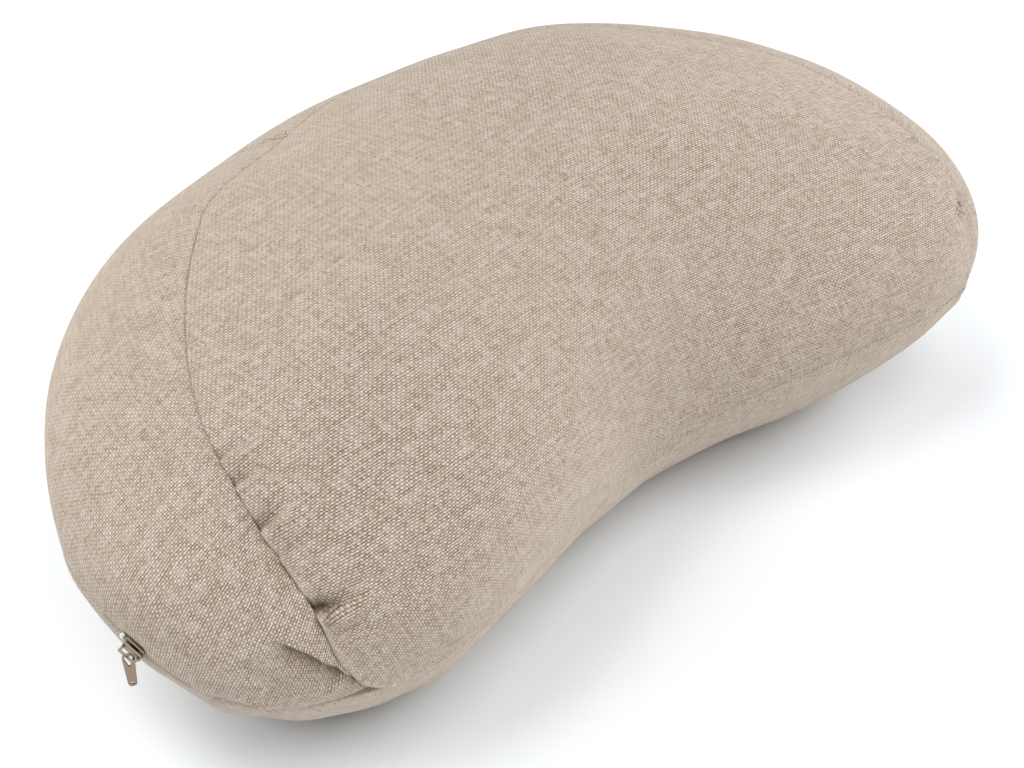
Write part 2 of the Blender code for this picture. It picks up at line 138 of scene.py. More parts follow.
# %% Floor
FLOOR_SIZE = 2.4  # metres
floor_mesh = bpy.data.meshes.new("floor")
half = 0.5 * FLOOR_SIZE
corners = [(-half, -half, 0), (half, -half, 0), (half, half, 0), (-half, half, 0)]
floor_mesh.from_pydata(corners, [], [(0, 1, 2, 3)])
floor = bpy.data.objects.new("floor", floor_mesh)
bpy.context.scene.collection.objects.link(floor)
paper, _, paper_shader = new_material("matt_white_paper", "#F7FBFF")
paper_shader.inputs["Roughness"].default_value = 0.95
paper_shader.inputs["Specular IOR Level"].default_value = 0.1
floor_mesh.materials.append(paper)
print("floor of", FLOOR_SIZE, "m")

# %% Soft boxes
LIT_POINT = Vector((0.0, 0.0, 0.04))
# Name, place in metres, width in metres, watts, whether it also lights the floor.
SOFT_BOXES = (
    ("left_behind", (-1.3, 0.7, 1.3), 1.3, 17.5, True),
    ("left_behind_flagged", (-1.3, 0.7, 1.3), 1.3, 20.5, False),
    ("above_front", (0.0, -0.9, 2.0), 1.6, 26.0, True),
    ("above_left", (-0.8, 0.3, 2.2), 0.7, 12.5, True),
    ("behind", (0.1, 1.9, 1.3), 1.4, 20.0, True),
    ("right_low", (1.9, -0.2, 0.6), 1.2, 27.5, True),
    ("front_low_flagged", (0.3, -2.0, 0.6), 1.2, 20.0, False),
)


def soft_box(name, place, size, power):
    """A square area light at a place, turned towards the cushion."""
    lamp = bpy.data.lights.new(name, "AREA")
    lamp.shape = "SQUARE"
    lamp.size = size
    lamp.energy = power
    made = bpy.data.objects.new(name, lamp)
    made.location = place
    made.rotation_euler = (LIT_POINT - Vector(place)).to_track_quat("-Z", "Y").to_euler()
    bpy.context.scene.collection.objects.link(made)
    return made


without_floor = bpy.data.collections.new("without_floor")
without_floor.objects.link(floor)
without_floor.collection_objects[0].light_linking.link_state = "EXCLUDE"
for name, place, size, power, on_floor in SOFT_BOXES:
    lamp = soft_box(name, place, size, power)
    if not on_floor:
        lamp.light_linking.receiver_collection = without_floor
print(len(SOFT_BOXES), "soft boxes,", sum(row[3] for row in SOFT_BOXES), "W in all")

# %% Room
WHITE_UP_TO, DIM_FROM, DIM = 0.08, 0.3, 0.05  # sines of the height above the horizon; the dim strength
room = bpy.data.worlds.new("room")
room.use_nodes = True
sky = room.node_tree
way = add(sky, "ShaderNodeTexCoord").outputs["Generated"]
rise = add(sky, "ShaderNodeSeparateXYZ", None, way).outputs["Z"]
limits = {"From_Min": WHITE_UP_TO, "From_Max": DIM_FROM, "To_Min": 1.0, "To_Max": DIM}
bright = add(sky, RANGE, {"interpolation_type": "SMOOTHSTEP"}, Value=rise, **limits)
sky.nodes["Background"].inputs["Color"].default_value = linear("#FFFFFF")
sky.links.new(bright.outputs["Result"], sky.nodes["Background"].inputs["Strength"])
bpy.context.scene.world = room
bpy.context.scene.view_settings.view_transform = "Standard"
print("room is white up to", round(math.degrees(math.asin(WHITE_UP_TO)), 1), "degrees over the horizon")

# %% [markdown]
# ## The shape of the filled cover
# A filled crescent has no straight line in it, so its shape is written as sections: for each direction
# round the plan, how far it reaches, how high its fullest line lies and how round it is above and below.
# These are the same sizes as the solid has, so the cover lies on it. Sculpting by hand would do as well,
# but a table can be read, measured and corrected row by row.

# %% Sections and seams of the cover
HEIGHT = 168.0
CROWN_AT = (2.0, 40.0)  # the highest point in plan, seen from the middle of the sections
CORE = (185.0, 104.0)  # half-axes of the ellipse that the crown's level lines follow
CORE_FADE = 1.6  # how late they turn from that ellipse into the crescent
FLAT_BLEND = 9.0  # height below which the rounded base eases onto the floor
CENTRE = np.array((0.96, -21.3, 0.0))  # the middle of the sections, in the part's own frame

# reach: plan radius at the fullest line; girth: its height; crown, base: roundness above and below it;
# settle: how far the rounded base would reach below the floor if the filling did not flatten it.
SECTION_COLUMNS = ("angle", "reach", "girth", "crown", "base", "settle")
SECTIONS = (
    (0.0, 224, 86, 2.12, 2.11, 45),
    (22.5, 200, 92, 2.18, 2.24, 30),
    (45.0, 171, 90, 2.31, 2.28, 30),
    (67.5, 143, 89, 2.38, 2.28, 30),
    (90.0, 136, 87, 2.31, 2.28, 30),
    (112.5, 143, 89, 2.37, 2.28, 30),
    (135.0, 171, 90, 2.22, 2.28, 30),
    (157.5, 200, 97, 2.34, 2.31, 30),
    (180.0, 223, 83, 2.14, 1.87, 45),
    (202.5, 203, 79, 2.16, 2.00, 72),
    (225.0, 117, 77, 2.25, 2.15, 42),
    (247.5, 74, 64, 2.30, 2.00, 30),
    (270.0, 64, 62, 2.32, 1.91, 30),
    (292.5, 73, 65, 2.30, 1.96, 30),
    (315.0, 122, 75, 2.25, 1.87, 45),
    (337.5, 210, 75, 2.12, 1.80, 72),
)

# Heights of the seams. The upper one goes all the way round; the lower one only from horn to horn.
SEAM_COLUMNS = ("angle", "upper", "lower")
SEAMS = (
    (0.0, 140, 81), (6.0, 146, 81), (20.0, 153, 80), (45.0, 155, 77),
    (90.0, 156, 75), (130.0, 156, 77), (160.0, 153, 81), (167.0, 150, 82),
    (174.0, 145, 82), (182.0, 138, 80), (189.0, 131, 71), (195.0, 124, 57),
    (198.0, 118, 52), (201.0, 110, 50), (203.5, 97, 53), (205.4, 73, 53),
    (207.2, 60, 52), (209.5, 52, 51), (216.0, 50, 50), (226.0, 51, 51),
    (247.0, 51, 51), (270.0, 47, 47), (285.0, 50, 50), (298.0, 59, 59),
    (311.0, 68, 68), (320.0, 72, 72), (330.5, 70, 69), (334.4, 89, 64),
    (336.2, 101, 64), (340.0, 114, 64), (345.0, 124, 68), (352.0, 133, 77),
)
LEFT_HORN, RIGHT_HORN = 209.5, 330.5


def column(table, names, wanted):
    return np.array([row[names.index(wanted)] for row in table], dtype=float)


def cubic(s, step, start, end, start_slope, end_slope):
    """The smooth curve between two values with their slopes, at the share s of a step."""
    ends = start * (1 + 2 * s) * (1 - s) ** 2 + end * s * s * (3 - 2 * s)
    return ends + step * s * (1 - s) * (start_slope * (1 - s) - end_slope * s)


def hermite(knots, values, tangents):
    """A closed curve through values at knots, in degrees, with given slopes."""

    def at(angle):
        angle = np.asarray(angle, dtype=float) % 360.0
        k = np.searchsorted(knots, angle, side="right") - 1
        after = (k + 1) % len(knots)
        step = (knots[after] - knots[k]) % 360.0
        s = (angle - knots[k]) / step
        return cubic(s, step, values[k], values[after], tangents[k], tangents[after])

    return at


def round_spline(knots, values):
    """The smoothest closed curve through its rows, for the body of the cushion."""
    steps = np.diff(np.append(knots, knots[0] + 360.0))
    slopes = (np.roll(values, -1) - values) / steps
    count = len(knots)
    system = np.zeros((count, count))
    for k in range(count):
        system[k, k - 1] += steps[k]
        system[k, k] += 2.0 * (steps[k - 1] + steps[k])
        system[k, (k + 1) % count] += steps[k - 1]
    given = 3.0 * (steps * np.roll(slopes, 1) + np.roll(steps, 1) * slopes)
    return hermite(knots, values, np.linalg.solve(system, given))


def plain_curve(knots, values):
    """A closed curve that never swings past its rows, for seams with sharp turns."""
    steps = np.diff(np.append(knots, knots[0] + 360.0))
    slopes = (np.roll(values, -1) - values) / steps
    before = np.roll(slopes, 1)
    weight_before, weight_after = np.roll(steps, 1) + 2.0 * steps, 2.0 * np.roll(steps, 1) + steps
    same_way = before * slopes > 0.0
    safe = np.where(same_way, before * slopes, 1.0)
    mean = safe * (weight_before + weight_after) / (weight_before * slopes + weight_after * before + 1e-12)
    return hermite(knots, values, np.where(same_way, mean, 0.0))


SECTION_ANGLES = column(SECTIONS, SECTION_COLUMNS, "angle")
REACH, GIRTH, CROWN, BASE, SETTLE = (
    round_spline(SECTION_ANGLES, column(SECTIONS, SECTION_COLUMNS, name)) for name in SECTION_COLUMNS[1:]
)
SEAM_ANGLES = column(SEAMS, SEAM_COLUMNS, "angle")
UPPER, LOWER = (plain_curve(SEAM_ANGLES, column(SEAMS, SEAM_COLUMNS, name)) for name in SEAM_COLUMNS[1:])
print(len(SECTIONS), "sections; the upper seam is", float(UPPER(90.0)), "mm up at the back")


# %% A point of the smooth cover
def cover_point(angle, turn):
    """Turn goes from 0 at the crown's top over 90 at the fullest line to 180 under the base."""
    angle, turn = np.broadcast_arrays(np.asarray(angle, float), np.asarray(turn, float))
    girth = GIRTH(angle)
    above = turn < 90.0
    power = 2.0 / np.where(above, CROWN(angle), BASE(angle))
    out = np.clip(np.sin(np.radians(turn)), 0.0, 1.0) ** power
    rise = np.abs(np.cos(np.radians(turn))) ** power
    share = out**CORE_FADE
    across, deep = np.cos(np.radians(angle)), np.sin(np.radians(angle))
    x = CROWN_AT[0] + out * ((1 - share) * CORE[0] * across + share * (REACH(angle) * across - CROWN_AT[0]))
    y = CROWN_AT[1] + out * ((1 - share) * CORE[1] * deep + share * (REACH(angle) * deep - CROWN_AT[1]))
    z = np.where(above, girth + (HEIGHT - girth) * rise, girth - (girth + SETTLE(angle)) * rise)
    low = (np.maximum(z, -FLAT_BLEND) + FLAT_BLEND) ** 2 / (4.0 * FLAT_BLEND)
    return np.stack([x, y, np.where(z >= FLAT_BLEND, z, low)], axis=-1) + CENTRE


def cover_normal(angle, turn):
    """Outward normals, from small steps each way."""
    step = 0.2
    above, below = np.maximum(turn - step, 0.1), np.minimum(turn + step, 179.9)
    down = cover_point(angle, below) - cover_point(angle, above)
    round_way = cover_point(angle + step, turn) - cover_point(angle - step, turn)
    normal = np.cross(down, round_way)
    return normal / np.linalg.norm(normal, axis=-1, keepdims=True)


def turn_at(angle, height):
    """The turn at which a section passes a height."""
    girth = GIRTH(angle)
    above = height >= girth
    deep = girth + SETTLE(angle)
    share = np.where(above, (height - girth) / (HEIGHT - girth), (girth - height) / deep)
    power = np.where(above, CROWN(angle), BASE(angle)) / 2.0
    leaning = np.degrees(np.arccos(np.clip(share, 0.0, 1.0) ** power))
    return np.where(above, leaning, 180.0 - leaning)


print("cover is", np.ptp(cover_point(np.arange(360.0), 90.0), axis=0).round(1), "mm at its fullest line")

# %% [markdown]
# ## Lines on the cover
# Seams, pleats and folds lie along lines on the cloth. A line is a short list of places, each an angle and
# a height, joined by a smooth curve. How far a point is from a line, on which side and how far along it
# drives the relief.


# %% Measure from a line on the cover
FAR = 1000.0  # the distance given to points out of reach
LINE_SPACING = 0.6


def smooth_step(x):
    x = np.clip(x, 0.0, 1.0)
    return x * x * (3.0 - 2.0 * x)


def line_on_cover(places):
    """Points and normals along a smooth line through (angle, height) places, and the way along it."""
    places = np.array(places, dtype=float)
    rough = cover_point(places[:, 0], turn_at(places[:, 0], places[:, 1]))
    at = np.concatenate([[0.0], np.cumsum(np.linalg.norm(np.diff(rough, axis=0), axis=1))])
    along = np.linspace(0.0, at[-1], max(int(at[-1] / LINE_SPACING), 2) + 1)
    slopes = np.gradient(places, at, axis=0)
    k = np.clip(np.searchsorted(at, along, side="right") - 1, 0, len(at) - 2)
    step = (at[k + 1] - at[k])[:, None]
    s = (along - at[k])[:, None] / step
    smooth = cubic(s, step, places[k], places[k + 1], slopes[k], slopes[k + 1])
    turn = turn_at(smooth[:, 0], smooth[:, 1])
    return cover_point(smooth[:, 0], turn), cover_normal(smooth[:, 0], turn), along


def measure(points, line, reach):
    """Distance to a line, signed by side, and the length passed on it. Far points get FAR."""
    places, normals, along = line
    ways = np.gradient(places, axis=0)
    ways /= np.linalg.norm(ways, axis=1, keepdims=True)
    sideways = np.cross(normals, ways)
    tree = KDTree(len(places))
    for number, place in enumerate(places.tolist()):
        tree.insert(place, number)
    tree.balance()
    distance, passed = np.full(len(points), FAR), np.zeros(len(points))
    low, high = places.min(axis=0) - reach, places.max(axis=0) + reach
    near = np.flatnonzero(((points > low) & (points < high)).all(axis=1))
    nearest = np.array([tree.find(point)[1] for point in points[near].tolist()], dtype=int)
    rest = points[near] - places[nearest]
    ahead, beside = (rest * ways[nearest]).sum(axis=1), (rest * sideways[nearest]).sum(axis=1)
    past = (nearest == 0) & (ahead < 0) | (nearest == len(places) - 1) & (ahead > 0)
    length = np.linalg.norm(rest, axis=1)
    distance[near] = np.where(past, np.copysign(length, beside), beside)
    distance[near[length > reach]] = FAR
    passed[near] = along[nearest] + ahead
    return distance, passed


def from_line(points, places, reach):
    """Distance to the line through places, signed by side, and the share of it that is passed."""
    line = line_on_cover(places)
    gap, passed = measure(points, line, reach)
    return gap, passed / line[2][-1]


sample_line = line_on_cover(((198.0, 118.0), (204.0, 124.0)))
print("a line 6 degrees long on the horn measures", round(float(sample_line[2][-1]), 1), "mm")

# %% [markdown]
# ## Relief of the cloth
# At the horns the top panel is longer than the band that it is sewn to, and the maker eased the spare
# length into small pleats. The band's last stretch is folded under itself. All this could be sculpted, or
# left to a cloth simulation. Rows with a line and a size were chosen, because each pleat then stays where
# it belongs and can be changed alone.

# %% Tables of pleats, folds and lumps
STITCH = 2.8  # length of a stitch

# Creases: a line, the depth, how wide it is above and below the line, and the puff of cloth under it. The
# top's start at the seam and are deepest there; the band's are deepest in the middle. A negative depth
# stands proud.
TOP_CREASES = (
    (((192.0, 128.2), (193.6, 130.7), (195.7, 134.2)), 2.0, 3.2, 1.6, 1.3),
    (((194.4, 124.6), (196.1, 127.0), (198.3, 129.9)), 2.8, 3.6, 1.4, 1.8),
    (((198.0, 117.9), (199.4, 121.0), (201.3, 125.0)), 4.2, 5.0, 1.2, 2.8),
    (((200.0, 112.6), (201.8, 115.4), (204.3, 119.0)), 2.8, 3.8, 1.4, 1.8),
    (((201.2, 111.8), (202.5, 111.7), (203.7, 111.5)), 1.2, 2.6, 2.0, 0.4),
    (((203.0, 98.7), (204.2, 99.0), (205.8, 99.8), (207.3, 103.0)), 7.0, 5.0, 0.8, 2.6),
)
BAND_CREASES = (
    (((193.9, 49.5), (195.0, 56.5), (196.2, 57.0), (198.4, 53.5)), 3.4, 1.0, 1.5, 0.0),
    (((196.3, 64.7), (197.8, 64.0), (199.2, 57.8), (200.6, 46.0)), -2.0, 2.0, 2.6, 0.0),
)

# Folds: a line, how far the cloth drops on its lower side, how sharply, how far it stays down and how
# proud the upper side stands.
FLAP = (
    ((199.6, 92.6), (201.3, 90.2), (203.0, 85.2), (203.7, 81.2), (204.7, 75.8), (205.5, 69.6)),
    5.6, 0.7, 8.0, 1.6,
)
TIP = (((205.5, 70.5), (206.3, 65.5), (207.1, 60.6), (208.0, 55.3), (209.2, 52.0)), 4.6, 0.6, 6.0, 1.8)
DIP = (((199.6, 62.0), (199.1, 71.0), (198.3, 76.1), (197.6, 83.0)), 1.6, 1.6, 13.0, 0.5)
STRIP = (((203.5, 96.0), (204.5, 94.8), (205.4, 94.3), (206.6, 95.6)), 0.9, 0.4, 5.0, 0.5)

# The tuck pinched into the band's upper edge behind: a line, the depth, and how wide it is on either side.
TUCK = (((130.4, 144.5), (130.1, 151.1), (130.1, 153.8), (130.7, 156.0)), 7.0, 2.0, 1.3)

# Lumps and hollows of the filling: angle, height, how far out, and the reach along and up.
LUMPS = (
    (177.5, 79.0, 1.4, 14.0, 14.0),
    (190.6, 54.0, -1.4, 8.0, 9.0),
    (194.5, 41.0, 1.2, 6.0, 8.0),
    (199.0, 32.0, -0.8, 8.0, 9.0),
    (204.0, 24.0, -1.2, 12.0, 14.0),
    (213.5, 25.0, 2.0, 9.0, 16.0),
    (221.0, 34.0, -1.3, 9.0, 14.0),
    (332.3, 66.0, 1.8, 6.0, 9.0),
)
LEFT_FULL, RIGHT_FULL = (188.0, 198.0), (352.0, 342.0)  # where pleating starts and where it is full
ZIP_START, ZIP_END = 185.9, 189.0  # the cloth is open round the slider and the lips close past it
LIPS_END = 194.5
print(len(TOP_CREASES), "pleats at each horn,", len(LUMPS), "lumps and hollows")

# %% Depth of pleats, folds and lumps
PUFF_AT, PUFF_WIDTH = -3.2, 2.8  # where the puff under a pleat lies, and how wide it is, in mm
MIRROR_DEPTH, MIRROR_PUFF, MIRROR_RISE = 0.6, 0.5, 3.0  # the right horn's pleats are shallower and higher
PROUD_REACH = 6.0  # mm over which the upper side of a fold comes down again


def direction(points):
    """The direction of points round the plan, in degrees."""
    way = points - CENTRE
    return np.degrees(np.arctan2(way[:, 1], way[:, 0])) % 360.0


def crease_depth(points, rows, lens=False):
    """How far creases draw the cloth in."""
    depth = np.zeros(len(points))
    for places, deep, above, below, puff in rows:
        gap, share = from_line(points, places, 20.0)
        if lens:
            fades = np.sin(math.pi * np.clip(share, 0.0, 1.0)) ** 0.7
        else:
            fades = np.where(share < 0.0, np.exp(-((share / 0.1) ** 2)), (1.0 - smooth_step(share)) ** 0.8)
        width = np.where(gap > 0.0, above, below)
        depth += deep * fades * np.exp(-np.abs(gap / width) ** 1.3)
        depth -= puff * fades * np.exp(-(((gap - PUFF_AT) / PUFF_WIDTH) ** 2))
    return depth


def mirrored(rows):
    """The same pleats at the right horn: an angle turns into 180 - angle, here with a full turn added."""
    found = []
    for places, deep, above, below, puff in rows:
        there = tuple((540.0 - angle, height + MIRROR_RISE) for angle, height in places)
        found.append((there, deep * MIRROR_DEPTH, below, above, puff * MIRROR_PUFF))
    return found


def fold_depth(points, row):
    """A fold: deep below its line, proud above it."""
    places, drop, sharp, reach, proud = row
    gap, share = from_line(points, places, 40.0)
    fades = smooth_step(share / 0.3) * smooth_step((1.08 - share) / 0.12)
    step = smooth_step(0.5 - gap / (2.0 * sharp))
    low = drop * step * np.exp(-np.clip(-gap, 0.0, None) / reach)
    high = proud * (1.0 - step) * np.exp(-np.clip(gap, 0.0, None) / PROUD_REACH)
    return fades * (low - high) * (gap < FAR)


def lumps(points):
    """How far the filling pushes the cloth out, in mm."""
    out = np.zeros(len(points))
    for angle, height, way, along, upward in LUMPS:
        apart = points - cover_point(angle, turn_at(angle, height))
        out += way * np.exp(-(apart[:, 0] ** 2 + apart[:, 1] ** 2) / along**2 - (apart[:, 2] / upward) ** 2)
    return out


# %% [markdown]
# ## Panels
# Each panel is a grid over its part of the cover. Rows crowd towards the seams and columns towards the
# horns, where the pleats are. Past its seam a panel goes on inwards for a seam allowance, so that two
# panels meet in a real seam, dark from its depth and from painted shade on the turned-in allowance.

# %% Columns of the mesh and the filling's unevenness
RIM_DEPTHS = (0.4, 4.5)  # the seam allowance turns inwards past these depths
WIDE_STEP, MIDDLE_STEP, CLOSE_STEP, FINE_STEP = 0.9, 0.5, 0.25, 0.14  # degrees
TOP_ROWS, BAND_ROWS, BASE_ROWS = 96, 84, 40
WAVES = 14  # waves that add up to the soft unevenness of the filling
WAVE_LENGTHS = (38.0, 95.0)
WAVE_HEIGHT = 0.448
rng = np.random.default_rng(11)
wave_ways = rng.normal(size=(WAVES, 3))
wave_ways /= np.linalg.norm(wave_ways, axis=1, keepdims=True)
wave_numbers = 2.0 * math.pi / rng.uniform(*WAVE_LENGTHS, WAVES)
wave_starts = rng.uniform(0.0, 2.0 * math.pi, WAVES)


def column_angles(start, end):
    """Directions of the mesh columns, closest at the left horn, then at the zip and the tuck."""
    found, angle = [], start
    while angle < end - 0.5 * FINE_STEP:
        found.append(angle)
        here = angle % 360.0
        if 197.0 <= here <= 210.0:
            angle += FINE_STEP
        elif 185.0 <= here <= 212.0 or 128.5 <= here <= 132.0:
            angle += CLOSE_STEP
        else:
            angle += MIDDLE_STEP if 172.0 <= here <= 216.0 or 326.0 <= here <= 356.0 else WIDE_STEP
    return np.array(found)


def unevenness(points):
    """Low, broad lumps of a filled cushion, in mm."""
    phase = points @ (wave_ways * wave_numbers[:, None]).T + wave_starts
    return WAVE_HEIGHT * np.sin(phase).sum(axis=1) / math.sqrt(WAVES)


print(len(column_angles(0.0, 360.0)), "columns round the cushion")

# %% [markdown]
# ## Seams
# A sewn seam in a filled cover draws the cloth in to a soft valley, and each stitch pulls a small dent
# into it. A bump map could fake the dents, but the outline and the mesh would stay smooth, so the valley
# and its stitches are real relief. The top's edge rolls over the band where it is eased, and the lower
# seam opens round the zip's slider.

# %% Seam lines and their relief
UPPER_DRAW, UPPER_REACH = 0.7, 4.5  # how deep the upper seam's valley is and how far it reaches
LOWER_DRAW, LOWER_REACH = 0.8, 4.0
DENT, SEW_LINE, DENT_REACH = 0.45, 0.1, 0.7  # a stitch's dent, the line between dents, and their reach
ROLL, ROLL_AT, ROLL_WIDTH = 0.7, 1.0, 1.1  # the top's rolled edge over the band
STEP_NEAR, STEP_FAR = (0.35, 1.0), (0.75, 3.5)  # the band's step down under that edge: depth and reach
ZIP_OPENING, ZIP_REACH = 1.7, 4.5
LIP_HEIGHT, LIP_GROOVE, LIP_WIDTH = 0.9, 0.35, 2.4


def seam_line(height, start, end):
    """A seam as a line on the cover, every half degree."""
    angles = np.arange(start, end + 0.25, 0.5)
    turn = turn_at(angles, height(angles))
    places = cover_point(angles, turn)
    along = np.concatenate([[0.0], np.cumsum(np.linalg.norm(np.diff(places, axis=0), axis=1))])
    return places, cover_normal(angles, turn), along


upper_seam = seam_line(UPPER, 0.0, 360.0)
lower_seam = seam_line(LOWER, RIGHT_HORN - 360.0, LEFT_HORN)
print(f"upper seam {upper_seam[2][-1]:.0f} mm, lower seam {lower_seam[2][-1]:.0f} mm")


def fullness(angle):
    """1 where the upper seam is pleated, 0 where it lies flat."""
    left = smooth_step((angle - LEFT_FULL[0]) / (LEFT_FULL[1] - LEFT_FULL[0])) * (angle < 215.0)
    right = smooth_step((angle - RIGHT_FULL[0]) / (RIGHT_FULL[1] - RIGHT_FULL[0])) * (angle > 325.0)
    return left + 0.7 * right


def stitched(passed):
    """1 in the middle of a stitch and 0 between two."""
    return 0.5 + 0.5 * np.cos(2.0 * math.pi * passed / STITCH)


def upper_seam_depth(points, side):
    """The upper seam: a shallow valley with stitches; pleated, the top's edge lies over the band."""
    gap, passed = measure(points, upper_seam, 30.0)
    gap = np.abs(gap)
    full = fullness(direction(points))
    dents = (DENT * stitched(passed) + SEW_LINE) * np.exp(-gap / DENT_REACH)
    depth = (UPPER_DRAW + 0.3 * full) * np.exp(-gap / UPPER_REACH)
    if side == "top":
        depth += dents * (1.0 - 0.6 * full)
        return depth - ROLL * full * np.exp(-(((gap - ROLL_AT) / ROLL_WIDTH) ** 2))
    steps = sum(deep * np.exp(-gap / reach) for deep, reach in (STEP_NEAR, STEP_FAR))
    return depth + dents * (1.0 - full) + full * steps


def lower_seam_depth(points):
    """The lower seam: flat stitches, open round the zip's slider, closed lips over its coil."""
    gap, passed = measure(points, lower_seam, 30.0)
    gap = np.abs(gap)
    angle = direction(points)
    slider = smooth_step((angle - ZIP_START) / 0.5) * smooth_step((ZIP_END - angle) / 0.8)
    lips = smooth_step((angle - ZIP_END + 0.5) / 0.8) * smooth_step((LIPS_END - angle) / 1.5)
    sewn = LOWER_DRAW * np.exp(-gap / LOWER_REACH)
    sewn += (0.4 * stitched(passed) + SEW_LINE) * np.exp(-gap / DENT_REACH)
    opened = ZIP_OPENING * np.exp(-gap / ZIP_REACH)
    closed = LIP_HEIGHT * (np.exp(-gap / LIP_GROOVE) - np.exp(-((gap / LIP_WIDTH) ** 2)))
    return sewn * (1.0 - slider - lips) + opened * slider + closed * lips


# %% Points of a panel
def panel_points(angles, fractions, start_turn, end_turn, relief):
    """Grid of a panel's points with its relief, and the plain grid that it came from."""
    turns = start_turn[:, None] + (end_turn - start_turn)[:, None] * fractions[None, :]
    plain = cover_point(angles[:, None], turns)
    normals = cover_normal(angles[:, None], turns)
    flat = plain.reshape(-1, 3)
    drawn_in = relief(flat)
    depth = (drawn_in + unevenness(flat) - lumps(flat)).reshape(turns.shape)
    placed = plain - normals * depth[..., None]
    placed[..., 2] = np.maximum(placed[..., 2], 0.0)
    return placed, normals, turns, drawn_in.reshape(turns.shape)


# %% [markdown]
# ## Wear of the cloth and painted sheen
# Filling stretches a loose weave, so over the horn and the right half the threads stand apart and the
# holes show. Where the cloth rubs on the floor or is handled it grows lint, which hides the threads. The
# paleness along the pleated seam's ridge is also a painted highlight, and low on the hollow side and on
# the base's low edge it is also painted sheen and bounce light from the floor. Both are values at the
# points of each panel, because they belong to places on the cushion.

# %% Open weave, lint and painted sheen
HORN_AT, HORN_SPREAD = np.array((-150.0, -88.0, 118.0)), 95.0  # the most stretched place and its reach
LINT = 0.12  # lint that is everywhere


def open_weave(points):
    """How open the threads stand: most on the stretched horn, then on the right half, least behind left."""
    gap = np.linalg.norm(points - HORN_AT, axis=-1)
    right_half = smooth_step((points[:, 0] + 80.0) / 120.0)
    return np.clip(0.1 + 0.9 * np.exp(-((gap / HORN_SPREAD) ** 2)) + 0.6 * right_half, 0.0, 1.0)


def top_lint_and_sheen(points):
    """Lint where the top is handled: on the pleated seam's ridge, also a painted highlight, and low on the
    hollow side, also painted sheen and bounce light.
    """
    gap = measure(points, upper_seam, 8.0)[0]
    angle = direction(points)
    ridge = 0.8 * fullness(angle) * np.exp(-np.abs(gap) / 1.2)
    hollow_side = smooth_step((angle - 212.0) / 10.0) * smooth_step((262.0 - angle) / 25.0)
    return LINT + ridge + 0.5 * hollow_side * smooth_step((110.0 - points[:, 2]) / 60.0)


def band_lint(points):
    """The band is clean all over."""
    return np.full(len(points), LINT)


def base_lint_and_sheen(points):
    """The base rubs on the floor, so its low edge is brushed pale, also painted sheen and bounce light from
    the floor, and the threads hardly show.
    """
    return LINT + 0.6 * smooth_step((75.0 - points[:, 2]) / 12.0) * (1.0 - 0.5 * (points[:, 0] > 0.0))


print("open weave at the horn:", float(open_weave(HORN_AT[None])[0]))

# %% [markdown]
# ## Flat patterns
# Cloth is cut flat, so its threads are straight on the flat pattern and bend only because the panel does.
# Blender's unwrap with minimum stretch flattens a coarse copy of a panel, as a pattern maker would, and
# the fine panel reads its own flat places from it, turned so that the threads lie along the cushion.

# %% Flatten a panel
COARSE_STEP = 5.0  # degrees between the columns of the coarse copy
COARSE_ROWS = 20
EASE = 12.0  # the coarse copy's edges follow the seams, smoothed over this many degrees either way
MARGIN = 5.0  # and pass them by this many degrees of turn
CROWN_POWER = 1.15  # rows spaced so that they lie evenly round the crown


def eased(edge, angles, outward):
    """A seam's turn, smoothed round the cushion and moved outward."""
    offsets = np.linspace(-EASE, EASE, 25)
    weights = np.cos(0.5 * math.pi * offsets / (EASE + 1.0)) ** 2
    return edge(angles[:, None] + offsets) @ (weights / weights.sum()) + outward * MARGIN


def between(knots, values, wanted):
    """A smooth curve through values at knots, read at places that may differ from column to column."""
    slopes = np.gradient(values, knots, axis=0)
    k = np.clip(np.searchsorted(knots, wanted, side="right") - 1, 0, len(knots) - 2)
    step = (knots[k + 1] - knots[k])[..., None]
    s = (wanted - knots[k])[..., None] / step
    if wanted.ndim == 1:  # the same places in every column
        before, after = k, k + 1
        step, s = step[..., None], s[..., None]
    else:
        columns = np.arange(values.shape[1])
        before, after = (k, columns), (k + 1, columns)
    return cubic(s, step, values[before], values[after], slopes[before], slopes[after])


def grid_faces(columns, rows, closed):
    """Quads of a grid whose vertices run down the rows of each column, outside facing out."""
    c = np.arange(columns if closed else columns - 1)[:, None]
    r = np.arange(rows - 1)[None, :]
    here, after = c * rows, (c + 1) % columns * rows
    return np.stack([here + r, here + r + 1, after + r + 1, after + r], axis=-1).reshape(-1, 4)


